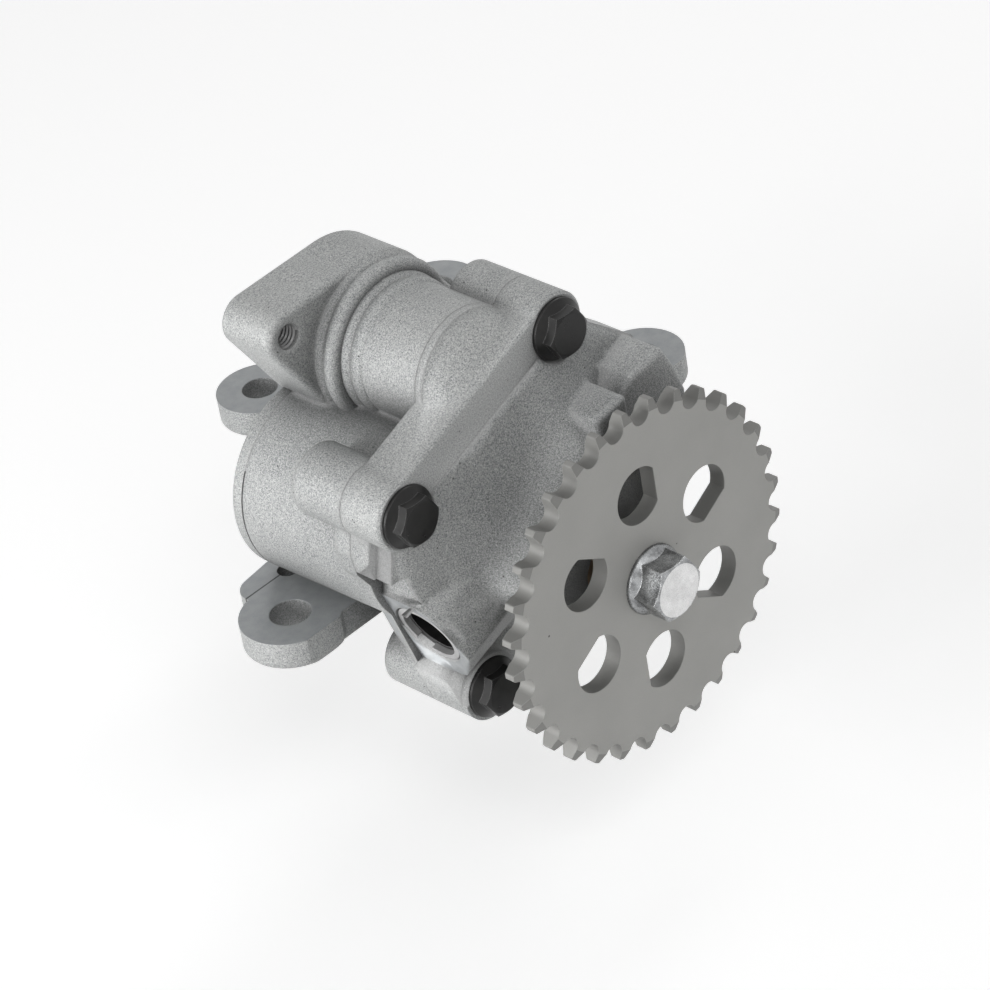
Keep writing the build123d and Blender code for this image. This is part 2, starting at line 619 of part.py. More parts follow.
def pump_body():
    body = drafted([(0, 0, LOBE_R), (IDLER_X, IDLER_Z, LOBE_R)], SPLIT_Y, REAR_JOINT_Y, LOBE_DRAFT)
    for x, z, r, y_end in HOUSING_BOLTS:
        body += rod(x, z, r, SPLIT_Y, y_end)
    x, z, r, y_end = HOUSING_BOLTS[2]
    body += along_y(hull_xz([(x, z, r - 0.3), (-14.0, -5.0, r)]), SPLIT_Y, y_end - 2)
    x, z, r, y_end = HOUSING_BOLTS[0]
    body += along_y(hull_xz([(x, z, r - 1.2), (-2.0, 18.0, 2 * r)]), SPLIT_Y, y_end - 2)
    body += relief_boss() - before(SPLIT_Y)
    tail_front = [(-45.6, 11.5, 1.5), (-38.2, -7.6, 1.8), (-31.3, -18.2, 7.0), (-30.0, 16.0, 12.0)]
    tail_back = [(x + 5.0, z, r) for x, z, r in tail_front]
    body += loft([Plane.XZ.offset(-SPLIT_Y) * hull_xz(tail_front),
                  Plane.XZ.offset(-RELIEF_TAIL_Y) * hull_xz(tail_back)], ruled=True)
    body += rod(DUCT_X, DUCT_Z, DUCT_R, SPLIT_Y, FLANGE_FRONT_Y + PAST)
    body += suction_flange()
    body += along_y(hull_xz([(DUCT_X, DUCT_Z, 10.0), (IDLER_X / 2, IDLER_Z / 2, 18.0)]),
                    SPLIT_Y, REAR_JOINT_Y)
    for x, z in COVER_SCREWS:
        body += rod(x, z, COVER_BOSS_R, REAR_JOINT_Y - COVER_SCREW_REACH - 3, REAR_JOINT_Y)
    body += feet()
    body += gallery(GALLERY_R)
    body += bar((OUTLET_X, GALLERY_Y, GALLERY_Z), (OUTLET_X + OUTLET_R, GALLERY_Y, GALLERY_Z),
                GALLERY_R)
    body += upright(OUTLET_X, GALLERY_Y, OUTLET_R, GALLERY_Z - 3, 0)
    body += Pos(12.0, GALLERY_Y, GALLERY_Z / 2) * Box(40.0, GALLERY_R, -GALLERY_Z - 4)
    body -= along_y(cover_outline(0.2), REAR_JOINT_Y, FLANGE_REAR_Y + 10)
    for x, z in ((0, 0), (IDLER_X, IDLER_Z)):
        body -= rod(x, z, POCKET_R, POCKET_FRONT_Y, REAR_JOINT_Y + PAST)
    body -= rod(0, 0, BUSH_OUTER_R, SPLIT_Y - PAST, POCKET_FRONT_Y + PAST)
    body -= rod(IDLER_X, IDLER_Z, PIN_R, PIN_Y0, POCKET_FRONT_Y + PAST)
    body -= rod(DUCT_X, DUCT_Z, DUCT_BORE_R, DUCT_FLOOR_Y, FLANGE_REAR_Y + PAST)
    body -= along_y(hull_xz([(DUCT_X, DUCT_Z, 8.0), (-11.0, 24.0, 8.0)]), POCKET_FRONT_Y, 56.0)
    body -= gallery(GALLERY_BORE_R)
    body -= bar((OUTLET_X, GALLERY_Y, GALLERY_Z), (OUTLET_X + 2 * OUTLET_R, GALLERY_Y, GALLERY_Z),
                GALLERY_BORE_R)
    body -= upright(OUTLET_X, GALLERY_Y, OUTLET_BORE_R, -OUTLET_PORT_DEPTH, PAST)
    body -= upright(OUTLET_X, GALLERY_Y, OUTLET_DRILL_R, GALLERY_Z, -OUTLET_PORT_DEPTH + PAST)
    body -= relief_drilling()
    body -= relief_bore()
    for side in (-1, 1):
        body -= rod(DUCT_X + side * FLANGE_HOLE_OFFSET_X, DUCT_Z - side * FLANGE_HOLE_OFFSET_Z,
                    M6_R, FLANGE_FRONT_Y - PAST, FLANGE_REAR_Y + PAST)
    for x, z, _, _ in HOUSING_BOLTS:
        body -= rod(x, z, M6_R, SPLIT_Y - PAST, SPLIT_Y + HOUSING_BOLT_REACH + PAST)
    for x, z in COVER_SCREWS:
        body -= rod(x, z, COVER_SCREW_R, REAR_JOINT_Y - COVER_SCREW_REACH - PAST / 2,
                    REAR_JOINT_Y + PAST)
    for x, z in DOWELS:
        body -= rod(x, z, DOWEL_R, SPLIT_Y - PAST, SPLIT_Y + DOWEL_HALF)
    for x, y, _, hole in (FOOT_NEAR_LEFT, FOOT_FAR_LEFT, FOOT_FAR_RIGHT, FOOT_NEAR_RIGHT,
                          DOWEL_HOLE):
        body -= upright(x, y, hole, -2 * FOOT_THICKNESS, PAST)
    return body


def gallery_plug():
    return bar((OUTLET_X + OUTLET_BORE_R + 0.5, GALLERY_Y, GALLERY_Z),
               (OUTLET_X + OUTLET_R - 0.4, GALLERY_Y, GALLERY_Z), GALLERY_BORE_R)


def rear_cover():
    cover = along_y(cover_outline(), REAR_JOINT_Y, REAR_JOINT_Y + COVER_THICKNESS)
    for x, z in COVER_SCREWS:
        cover -= rod(x, z, COVER_SCREW_R + 0.25, REAR_JOINT_Y - PAST,
                     REAR_JOINT_Y + COVER_THICKNESS + PAST)
    return cover


def cover_screws():
    group = []
    for x, z in COVER_SCREWS:
        screw = hex_flange_bolt(COVER_SCREW_R, COVER_SCREW_HEAD_ACROSS, COVER_SCREW_HEAD_HEIGHT,
                                COVER_SCREW_FLANGE_R, COVER_SCREW_FLANGE_HEIGHT,
                                COVER_THICKNESS + COVER_SCREW_REACH)
        group.append(Pos(x, REAR_JOINT_Y + COVER_THICKNESS, z) * Rot(0, 0, 180) * screw)
    return Compound(children=group)


def housing_bolts():
    group = []
    for x, z, _, _ in HOUSING_BOLTS:
        bolt = hex_flange_bolt(M6_R, M6_HEAD_ACROSS, M6_HEAD_HEIGHT, M6_FLANGE_R,
                               M6_FLANGE_HEIGHT, SPLIT_Y - BOLT_SEAT_Y + HOUSING_BOLT_REACH)
        group.append(Pos(x, BOLT_SEAT_Y, z) * bolt)
    return Compound(children=group)


def sprocket_bolt():
    bolt = hex_flange_bolt(M8_R, M8_HEAD_ACROSS, M8_HEAD_HEIGHT, M8_FLANGE_R,
                           M8_FLANGE_HEIGHT, M8_REACH + SPROCKET_HALF)
    return Pos(0, -SPROCKET_HALF, 0) * bolt


def housing_dowels():
    group = []
    for x, z in DOWELS:
        sleeve = ring_xz(x, z, DOWEL_R) - ring_xz(x, z, DOWEL_R - DOWEL_WALL)
        group.append(along_y(sleeve, SPLIT_Y - DOWEL_HALF + 0.5, SPLIT_Y + DOWEL_HALF - 0.5))
    return Compound(children=group)


def relief_piston():
    piston = relief_rod(RELIEF_BORE_R - RUNNING_CLEARANCE, PISTON_INNER, PISTON_OUTER)
    return piston - relief_rod(RELIEF_BORE_R - PISTON_WALL, PISTON_INNER + PISTON_FLOOR,
                               PISTON_OUTER + PAST)


def relief_spring():
    """A coil spring between the piston's floor and the spring seat."""
    radius = RELIEF_BORE_R - PISTON_WALL - SPRING_WIRE_R - SPRING_GAP
    start = PISTON_INNER + PISTON_FLOOR + SPRING_WIRE_R
    end = SEAT_INNER - SPRING_WIRE_R
    helix = Helix(pitch=(end - start) / SPRING_TURNS, height=end - start, radius=radius)
    section = Plane(origin=helix @ 0, z_dir=helix % 0) * Circle(SPRING_WIRE_R)
    return relief_plane(start).location * sweep(section, path=helix)


def relief_seat():
    """The spring's seat: a cup whose collar rests on the step in the mouth of the bore."""
    outer = RELIEF_BORE_R - SEAT_CLEARANCE
    seat = relief_rod(outer, SEAT_INNER, SEAT_OUTER)
    seat += relief_rod(RELIEF_MOUTH_R - RETAINER_RELIEF, SEAT_OUTER - SEAT_COLLAR, SEAT_OUTER)
    seat -= relief_rod(outer - SEAT_WALL, SEAT_INNER + SEAT_FLOOR, SEAT_OUTER + PAST)
    return seat - relief_rod(SEAT_HOLE_R, SEAT_INNER - PAST, SEAT_OUTER + PAST)


def relief_ring():
    """The split ring that holds the spring seat down in the mouth of the bore."""
    outer = RELIEF_MOUTH_R - RETAINER_RELIEF
    ring = relief_rod(outer, SEAT_OUTER, SEAT_OUTER + RETAINER_THICKNESS)
    ring -= relief_rod(outer - RETAINER_WIDTH, SEAT_OUTER - PAST, SEAT_OUTER + 2 * PAST)
    middle = relief_plane(SEAT_OUTER + RETAINER_THICKNESS / 2).location
    return ring - middle * Pos(RELIEF_MOUTH_R * 0.6, RELIEF_MOUTH_R * 0.8, 0) * Rot(0, 0, 53) * Box(
        2 * RELIEF_MOUTH_R - outer, RETAINER_GAP, 2 * RETAINER_THICKNESS)


os.makedirs("parts", exist_ok=True)
PARTS = [front_housing, pump_body, rear_cover, sprocket, sprocket_bolt, drive_shaft,
         front_shaft_bush, body_shaft_bush, drive_gear, drive_key, idler_gear, idler_bush,
         idler_pin, gallery_plug, housing_bolts, cover_screws, housing_dowels, relief_piston,
         relief_spring, relief_seat, relief_ring]
for make in PARTS:
    export_step(make(), f"parts/{make.__name__}.step")
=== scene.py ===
import math

import bmesh
import bpy
from mathutils import Matrix, Vector

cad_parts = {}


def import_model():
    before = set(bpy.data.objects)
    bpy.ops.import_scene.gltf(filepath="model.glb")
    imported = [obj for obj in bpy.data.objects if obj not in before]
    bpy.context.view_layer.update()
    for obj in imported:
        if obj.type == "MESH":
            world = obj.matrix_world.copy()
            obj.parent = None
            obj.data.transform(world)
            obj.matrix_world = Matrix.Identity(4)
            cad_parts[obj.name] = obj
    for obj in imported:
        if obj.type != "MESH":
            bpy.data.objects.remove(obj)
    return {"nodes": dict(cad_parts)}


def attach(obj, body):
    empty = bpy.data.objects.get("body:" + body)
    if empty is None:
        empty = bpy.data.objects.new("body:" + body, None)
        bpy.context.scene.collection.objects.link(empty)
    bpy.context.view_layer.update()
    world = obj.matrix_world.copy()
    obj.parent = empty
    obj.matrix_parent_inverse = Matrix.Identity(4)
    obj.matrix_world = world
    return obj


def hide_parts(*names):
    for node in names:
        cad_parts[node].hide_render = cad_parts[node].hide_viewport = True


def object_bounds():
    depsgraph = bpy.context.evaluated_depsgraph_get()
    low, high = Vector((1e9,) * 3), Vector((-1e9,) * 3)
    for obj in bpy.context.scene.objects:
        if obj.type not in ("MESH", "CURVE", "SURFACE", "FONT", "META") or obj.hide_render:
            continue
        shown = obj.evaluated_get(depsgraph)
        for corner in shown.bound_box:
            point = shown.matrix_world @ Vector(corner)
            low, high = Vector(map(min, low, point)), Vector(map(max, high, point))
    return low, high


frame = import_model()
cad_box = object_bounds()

NODES = frame["nodes"]
MM = 0.001

# The camera stands in front, to the left and above, as the photograph's did.
CAMERA_PLACE = Vector((-512.0, -557.2, 548.2)) * MM
CAMERA_RIGHT = Vector((0.68426, -0.71446, -0.14606))
CAMERA_UP = Vector((0.49675, 0.31003, 0.81063))
CAMERA_LENS = 157.43
CAMERA_CLIP = (0.05, 20.0)
SENSOR = 36.0

# Soft boxes: name, place in metres, side in metres and power in watts. A broad one stands
# low on the left, a weak one over the camera and one on the right.
LIGHTS = [
    ("left_box", (-1.05, 0.25, 0.2), 0.7, 10.8),
    ("front_box", (-0.45, -0.7, 0.95), 0.5, 2.4),
    ("right_box", (0.75, 0.15, 0.75), 0.5, 1.6),
]
LIGHT_TARGET = Vector((0.0, 0.05, 0.0))
AMBIENT = 0.34
SEEN_WHITE = 1.0

FLOOR_DROP = 30.0 * MM
FLOOR_HALF = 4.0
FLOOR_COLOUR = (0.9, 0.9, 0.9, 1.0)
FLOOR_ROUGHNESS = 0.9
FLOOR_GLOW = 0.35

# Most values of a noise texture lie between these two.
NOISE_LOW = 0.3
NOISE_HIGH = 0.7
# A face whose normal has at least this cosine with a direction counts as facing it.
FACING = 0.97

# Places on the castings, all in metres.
SPLIT_Y = 31.5 * MM
COVER_Y = 69.5 * MM
COVER_TOP_Z = 30.0 * MM
RIB_FACE_Y = 20.0 * MM
FLANGE_FRONT_Y = 58.5 * MM
FLANGE_REAR_Y = 73.0 * MM
RELIEF_FACE = Vector((-43.7, 22.9, 2.55)) * MM
RELIEF_TILT = math.radians(19.5)
FACE_SLACK = 0.06 * MM
SEAM_HALF = 0.14 * MM
SPLIT_DARKNESS = 0.3
COVER_SEAM_HALF = 1.5 * SEAM_HALF
COVER_SEAM_DARKNESS = 0.9
# Edges are rounded by the first radius near the rib's face, the flange's rear and the feet's
# tops, and by the second one away from them.
CAST_EDGE_RADII = (0.5 * MM, 2.4 * MM)
CAST_EDGE_BAND = (0.5 * MM, 6.0 * MM)

# Linear colours of the castings, and their roughness as cast and as milled.
CAST_DARK = (0.13, 0.14, 0.145, 1.0)
CAST_LIGHT = (0.60, 0.605, 0.595, 1.0)
MILLED_DARK = (0.25, 0.265, 0.275, 1.0)
MILLED_LIGHT = (0.36, 0.37, 0.375, 1.0)
CAST_ROUGHNESS = 0.5
MILLED_ROUGHNESS = 0.38
# How strong the cast grain's relief is, how much of it milling takes, and how high the sand is.
CAST_RELIEF = 0.5
MILLED_LOSS = 0.85
SAND_HEIGHT = 1.2
# Pits lie only in the patches where a broad noise is above this.
PIT_PATCHES = 0.60

# Beads round the suction duct in front of its flange, in millimetres: Y, ring radius and
# bead radius. The second one stands out of the duct only as a low collar.
DUCT_X, DUCT_Z = (-13.0, 49.8)
DUCT_BEADS = [(54.9, 16.5, 2.1), (49.4, 12.5, 3.2)]
BEAD_STEPS = 120
BEAD_SIDES = 20

# The X and Z of the flange's two holes and the thread turns in them, in millimetres. The
# thread starts and ends a part of a turn inside the flange's faces.
FLANGE_HOLES = [(-36.6, 62.7), (10.6, 36.9)]
THREAD_R = 3.03
THREAD_CREST_R = 2.55
THREAD_PITCH = 1.0
THREAD_FLANK = 0.42 * THREAD_PITCH
THREAD_LEAD_IN = 0.5
THREAD_STEPS = 24

# The relief boss swells inwards, from an outline at its mouth to a larger one at its root. Each
# outline is the band round four circles: place along Y, place downwards and radius, all in
# millimetres from the middle of the boss's end face.
SWELL_CENTRE = (2.0, -2.0)
SWELL_MOUTH = [(-3.6, 3.0, 5.3), (6.0, 4.0, 6.0), (8.0, -6.8, 4.0), (-0.6, -3.7, 6.45)]
SWELL_ROOT = [(-5.0, 3.0, 9.0), (6.0, 4.0, 6.0), (5.0, -20.0, 9.0), (-1.6, -13.5, 10.0)]
SWELL_START = 0.25
SWELL_LENGTH = 26.0
SWELL_RINGS = 14
SWELL_POINTS = 72
SWELL_HOLE_R = 9.3
SWELL_BACK = 8.45
BAND_STEP_DEGREES = 2
BAND_MIN_COSINE = 0.05

# The plate's corner beside the mouth is cut away: its left and right edges, each as X, lower Z
# and upper Z, and its depth along Y.
CORNER_CUT = [(-58.0, 8.65, 21.5), (-41.5, 14.2, 21.5)]
CORNER_CUT_Y = (20.5, 32.0)
# A block stands there instead: its left edges in front and behind, each as Y, lower X and upper X.
CORNER_FILL = [(21.6, -45.3, -42.0), (31.45, -46.6, -44.6)]
CORNER_FILL_RIGHT = -38.0
CORNER_FILL_Z = (11.95, 21.8)
SHARP_ANGLE = math.radians(32)


def camera():
    data = bpy.data.cameras.new("camera")
    data.lens = CAMERA_LENS
    data.sensor_width = SENSOR
    data.clip_start, data.clip_end = CAMERA_CLIP
    cam = bpy.data.objects.new("camera", data)
    bpy.context.scene.collection.objects.link(cam)
    back = CAMERA_RIGHT.cross(CAMERA_UP)
    turn = Matrix((CAMERA_RIGHT, CAMERA_UP, back)).transposed()
    cam.matrix_world = Matrix.Translation(CAMERA_PLACE) @ turn.to_4x4()
    bpy.context.scene.camera = cam


def lights():
    for name, place, size, power in LIGHTS:
        data = bpy.data.lights.new(name, "AREA")
        data.shape = "SQUARE"
        data.size = size
        data.energy = power
        lamp = bpy.data.objects.new(name, data)
        bpy.context.scene.collection.objects.link(lamp)
        lamp.location = Vector(place)
        aim = LIGHT_TARGET - lamp.location
        lamp.rotation_euler = aim.to_track_quat("-Z", "Y").to_euler()


class Shader:
    """A short way to write a material's node tree."""

    def __init__(self, name):
        self.material = bpy.data.materials.new(name)
        self.material.use_nodes = True
        self.tree = self.material.node_tree
        self.tree.nodes.clear()
        self.output = self.node("ShaderNodeOutputMaterial")
        self.surface = self.node("ShaderNodeBsdfPrincipled")
        self.link(self.surface.outputs[0], self.output.inputs["Surface"])
        self.place = self.node("ShaderNodeTexCoord").outputs["Object"]
        self.normal = self.node("ShaderNodeNewGeometry").outputs["True Normal"]

    def node(self, kind, **settings):
        made = self.tree.nodes.new(kind)
        for key, value in settings.items():
            setattr(made, key, value)
        return made

    def link(self, source, target):
        self.tree.links.new(source, target)

    def put(self, socket, value):
        if hasattr(value, "is_output"):
            self.link(value, socket)
        else:
            socket.default_value = value

    def set(self, name, value):
        self.put(self.surface.inputs[name], value)

    def noise(self, scale, detail, rough=0.55):
        made = self.node("ShaderNodeTexNoise")
        made.inputs["Scale"].default_value = scale
        made.inputs["Detail"].default_value = detail
        made.inputs["Roughness"].default_value = rough
        self.link(self.place, made.inputs["Vector"])
        return made.outputs["Fac"]

    def cells(self, scale):
        """The distance to the nearest of many scattered points."""
        made = self.node("ShaderNodeTexVoronoi")
        made.inputs["Scale"].default_value = scale
        self.link(self.place, made.inputs["Vector"])
        return made.outputs["Distance"]

    def ramp(self, value, low, high, low_out=0.0, high_out=1.0):
        made = self.node("ShaderNodeMapRange")
        self.put(made.inputs["Value"], value)
        made.inputs["From Min"].default_value = low
        made.inputs["From Max"].default_value = high
        made.inputs["To Min"].default_value = low_out
        made.inputs["To Max"].default_value = high_out
        return made.outputs["Result"]

    def spread(self, noise, low_out=0.0, high_out=1.0):
        """A noise stretched so that most of it lies between two values."""
        return self.ramp(noise, NOISE_LOW, NOISE_HIGH, low_out, high_out)

    def math(self, what, first, second=0.0):
        made = self.node("ShaderNodeMath", operation=what)
        self.put(made.inputs[0], first)
        self.put(made.inputs[1], second)
        return made.outputs[0]

    def add(self, first, second):
        return self.math("ADD", first, second)

    def times(self, first, second):
        return self.math("MULTIPLY", first, second)

    def apart(self, first, second):
        return self.math("ABSOLUTE", self.math("SUBTRACT", first, second))

    def dot(self, first, second):
        made = self.node("ShaderNodeVectorMath", operation="DOT_PRODUCT")
        self.put(made.inputs[0], first)
        self.put(made.inputs[1], second)
        return made.outputs["Value"]

    def mix(self, share, first, second):
        made = self.node("ShaderNodeMix", data_type="RGBA")
        first_colour, second_colour = [i for i in made.inputs if i.type == "RGBA"]
        self.put(made.inputs["Factor"], share)
        self.put(first_colour, first)
        self.put(second_colour, second)
        return [out for out in made.outputs if out.type == "RGBA"][0]

    def bump(self, height, strength, distance, normal):
        made = self.node("ShaderNodeBump")
        self.put(made.inputs["Strength"], strength)
        made.inputs["Distance"].default_value = distance
        self.put(made.inputs["Height"], height)
        self.link(normal, made.inputs["Normal"])
        return made.outputs["Normal"]

    def soft_edges(self, radius):
        """A normal that rounds every edge, and how much it turns there."""
        made = self.node("ShaderNodeBevel", samples=4)
        self.put(made.inputs["Radius"], radius)
        soft = made.outputs["Normal"]
        turn = self.math("SUBTRACT", 1.0, self.dot(soft, self.normal))
        return soft, turn

    def edge_highlight(self, colour, turn, start, full, share, highlight):
        """A colour that gives way to a brighter one where an edge turns: a painted highlight."""
        return self.mix(self.ramp(turn, start, full, 0.0, share), colour, highlight)

    def painted_shade(self, colour, distance, closed, share, shade_colour):
        """A colour that gives way to a darker one, painted shade, deep in a corner or under an
        overhang.
        """
        made = self.node("ShaderNodeAmbientOcclusion", samples=6)
        made.inputs["Distance"].default_value = distance
        nearly_open = 0.95
        return self.mix(self.ramp(made.outputs["AO"], closed, nearly_open, share, 0.0), colour, shade_colour)

    def plane(self, point, normal):
        """One where the surface lies in a plane and faces along its normal, or else zero."""
        offset = self.apart(self.dot(self.place, tuple(normal)), Vector(point).dot(normal))
        near = self.math("LESS_THAN", offset, FACE_SLACK)
        facing = self.math("GREATER_THAN", self.dot(self.normal, tuple(normal)), FACING)
        return self.times(near, facing)


def grey(level, warm=0.0):
    return (level * (1 + warm), level, level * (1 - warm), 1.0)


def olive(level):
    green, blue = 0.995, 0.955
    return (level, level * green, level * blue, 1.0)


def cast_edge_radius(s, y, z):
    """How far the castings' edges are rounded: less at the rib's, the flange's and the feet's faces."""
    rim = s.math("MINIMUM", s.apart(y, RIB_FACE_Y), s.apart(y, FLANGE_REAR_Y))
    rim = s.math("MINIMUM", rim, s.math("ABSOLUTE", z))
    return s.ramp(rim, *CAST_EDGE_BAND, *CAST_EDGE_RADII)


def milled_faces(s):
    """One on the feet's tops, the flange's rear and the relief boss's end, or else zero."""
    top = s.plane((0, 0, 0), Vector((0, 0, 1)))
    rear = s.plane((0, FLANGE_REAR_Y, 0), Vector((0, 1, 0)))
    end = s.plane(RELIEF_FACE, Vector((-math.cos(RELIEF_TILT), 0, -math.sin(RELIEF_TILT))))
    return s.math("MINIMUM", s.add(s.add(top, rear), end), 1.0)


def joint_lines(s, y, z):
    """How dark the two joints are drawn: the housing's split and the rear cover's front edge."""
    split = s.math("LESS_THAN", s.apart(y, SPLIT_Y), SEAM_HALF)
    cover = s.math("LESS_THAN", s.apart(y, COVER_Y), COVER_SEAM_HALF)
    cover = s.times(cover, s.math("LESS_THAN", z, COVER_TOP_Z))
    return s.add(s.times(split, SPLIT_DARKNESS), s.times(cover, COVER_SEAM_DARKNESS))


def cast_aluminium():
    """Shot-blasted die casting with sandy grain, milled faces and a dark line at each joint, with
    painted highlights on its edges and painted shade in its hollows.
    """
    s = Shader("cast_aluminium")
    spot = s.node("ShaderNodeSeparateXYZ")
    s.link(s.place, spot.inputs[0])
    _, y, z = spot.outputs
    grain = s.noise(scale=4200.0, detail=2.0, rough=0.8)
    sand = s.noise(scale=2500.0, detail=2.0, rough=0.6)
    cloud = s.noise(scale=34.0, detail=3.0, rough=0.5)
    tone = s.add(s.ramp(grain, low=0.35, high=0.65, low_out=-0.7, high_out=0.7),
                 s.spread(sand, low_out=-0.5, high_out=0.5))
    tone = s.add(tone, s.spread(cloud, low_out=-0.16, high_out=0.16))
    cast = s.mix(s.ramp(tone, low=-1.0, high=1.0), CAST_DARK, CAST_LIGHT)
    around_pits = s.ramp(s.cells(scale=330.0), low=0.05, high=0.09)
    patches = s.math("GREATER_THAN", s.noise(scale=90.0, detail=1.0), PIT_PATCHES)
    cast = s.mix(s.times(patches, s.math("SUBTRACT", 1.0, around_pits)), cast, grey(0.07))
    soft, turn = s.soft_edges(cast_edge_radius(s, y, z))
    # Painted highlight: the edges are painted brighter where they turn.
    cast = s.edge_highlight(cast, turn, start=0.02, full=0.3, share=0.5, highlight=grey(0.68))
    # Painted shade: hollows and the places under overhangs are painted darker.
    cast = s.painted_shade(cast, distance=16.0 * MM, closed=0.35, share=0.62, shade_colour=grey(0.055))

    milled = milled_faces(s)
    fine_share, broad_share = 0.4, 0.6
    broad = s.noise(scale=300.0, detail=4.0)
    faint = s.add(s.times(grain, fine_share), s.times(broad, broad_share))
    colour = s.mix(milled, cast, s.mix(s.spread(faint), MILLED_DARK, MILLED_LIGHT))
    colour = s.mix(joint_lines(s, y, z), colour, grey(0.03))
    s.set("Base Color", colour)
    s.set("Metallic", 0.3)
    s.set("Specular IOR Level", 0.5)
    s.set("Roughness", s.mix(milled, grey(CAST_ROUGHNESS), grey(MILLED_ROUGHNESS)))
    strength = s.times(s.math("SUBTRACT", 1.0, s.times(milled, MILLED_LOSS)), CAST_RELIEF)
    height = s.add(grain, s.times(sand, SAND_HEIGHT))
    s.set("Normal", s.bump(height, strength, distance=0.22 * MM, normal=soft))
    return s.material


def sintered_steel(name, level):
    """Pressed and sintered steel: even warm grey and a few specks, with painted shade on the walls and
    painted highlights on the edges.
    """
    s = Shader(name)
    grain = s.noise(scale=3800.0, detail=2.0, rough=0.6)
    cloud = s.noise(scale=60.0, detail=4.0, rough=0.6)
    cloud_dark, cloud_light, grain_dark, wall_shade, highlit_edge = 0.95, 1.05, 0.8, 0.60, 1.35
    colour = s.mix(s.spread(cloud), olive(level * cloud_dark), olive(level * cloud_light))
    colour = s.mix(s.spread(grain, high_out=0.25), colour, olive(level * grain_dark))
    speck_r, speck_share = 0.035, 0.8
    specks = s.math("LESS_THAN", s.cells(scale=120.0), speck_r)
    colour = s.mix(s.times(specks, speck_share), colour, grey(0.04, warm=0.05))
    soft, turn = s.soft_edges(0.35 * MM)
    # Painted shade: the walls, which do not face along the axis, are painted darker than the faces.
    along_axis = s.math("ABSOLUTE", s.dot(s.normal, (0.0, 1.0, 0.0)))
    shaded_walls = s.math("LESS_THAN", along_axis, FACING)
    colour = s.mix(shaded_walls, colour, olive(level * wall_shade))
    # Painted highlight: the edges are painted brighter where they turn.
    colour = s.edge_highlight(colour, turn, start=0.03, full=0.3, share=0.5, highlight=olive(level * highlit_edge))
    s.set("Base Color", colour)
    s.set("Metallic", 0.2)
    s.set("Specular IOR Level", 0.4)
    s.set("Roughness", s.spread(grain, low_out=0.45, high_out=0.58))
    s.set("Normal", s.bump(grain, strength=0.18, distance=0.05 * MM, normal=soft))
    return s.material


def smooth_metal(name, level, metallic, rough, warm=0.0):
    """Turned or ground metal, a little cloudy in its colour and its gloss."""
    s = Shader(name)
    grain = s.noise(scale=3000.0, detail=2.0, rough=0.6)
    cloud = s.noise(scale=220.0, detail=4.0, rough=0.6)
    mottle, gloss_spread = 0.12, 0.15
    low, high = grey(level * (1 - mottle), warm), grey(level * (1 + mottle), warm)
    s.set("Base Color", s.mix(s.spread(cloud), low, high))
    s.set("Metallic", metallic)
    s.set("Specular IOR Level", 0.5)
    s.set("Roughness", s.spread(cloud, rough * (1 - gloss_spread), rough * (1 + gloss_spread)))
    soft, _ = s.soft_edges(0.25 * MM)
    s.set("Normal", s.bump(grain, strength=0.1, distance=0.04 * MM, normal=soft))
    return s.material


def black_oxide():
    """Oiled black oxide with edges rubbed down to grey steel, their lightness partly painted highlight.
    """
    s = Shader("black_oxide")
    grain = s.noise(scale=2600.0, detail=3.0, rough=0.65)
    cloud = s.noise(scale=300.0, detail=4.0, rough=0.6)
    soft, turn = s.soft_edges(0.3 * MM)
    colour = s.mix(s.spread(cloud), grey(0.006), grey(0.014, warm=0.03))
    # The edges' grey is partly rubbed steel and partly painted highlight: lighter where an edge turns,
    # patchy with the grain.
    rub_and_highlight = s.times(s.ramp(turn, low=0.04, high=0.25), s.ramp(grain, low=0.3, high=0.6, low_out=0.3))
    rub_and_highlight_share = 0.8
    s.set("Base Color", s.mix(s.times(rub_and_highlight, rub_and_highlight_share), colour, grey(0.24)))
    s.set("Metallic", 0.0)
    s.set("Specular IOR Level", 0.3)
    s.set("Roughness", s.spread(cloud, low_out=0.26, high_out=0.4))
    s.set("Normal", s.bump(s.add(grain, cloud), strength=0.22, distance=0.06 * MM, normal=soft))
    return s.material


def bright_zinc():
    """Bright zinc plate; its rolled sides are painted darker as shade and the head's flat end brighter
    as a highlight, with painted highlights on the edges and painted shade in the hollows.
    """
    s = Shader("bright_zinc")
    grain = s.noise(scale=2400.0, detail=3.0, rough=0.6)
    cloud = s.noise(scale=260.0, detail=4.0, rough=0.7)
    soft, turn = s.soft_edges(0.35 * MM)
    # Painted light: the flat end facing forwards is painted as a bright highlight and the sides are
    # painted darker as shade.
    end = s.math("GREATER_THAN", s.dot(s.normal, (0.0, -1.0, 0.0)), FACING)
    blotch = s.ramp(cloud, low=0.35, high=0.65)
    sides = s.mix(blotch, grey(0.16, warm=-0.02), grey(0.52, warm=-0.02))
    lit_end_face = s.mix(s.spread(cloud), grey(0.60), grey(0.80))
    colour = s.mix(end, sides, lit_end_face)
    # Painted highlight on the edges.
    colour = s.edge_highlight(colour, turn, start=0.04, full=0.3, share=0.9, highlight=grey(0.9))
    # Painted shade in the hollows.
    colour = s.painted_shade(colour, distance=5.0 * MM, closed=0.3, share=0.7, shade_colour=grey(0.04))
    s.set("Base Color", colour)
    s.set("Metallic", 0.85)
    s.set("Roughness", s.spread(grain, low_out=0.2, high_out=0.34))
    s.set("Normal", s.bump(s.add(grain, cloud), strength=0.3, distance=0.06 * MM, normal=soft))
    return s.material


def dress(material, *names):
    for name in names:
        node = NODES[name]
        node.data.materials.clear()
        node.data.materials.append(material)


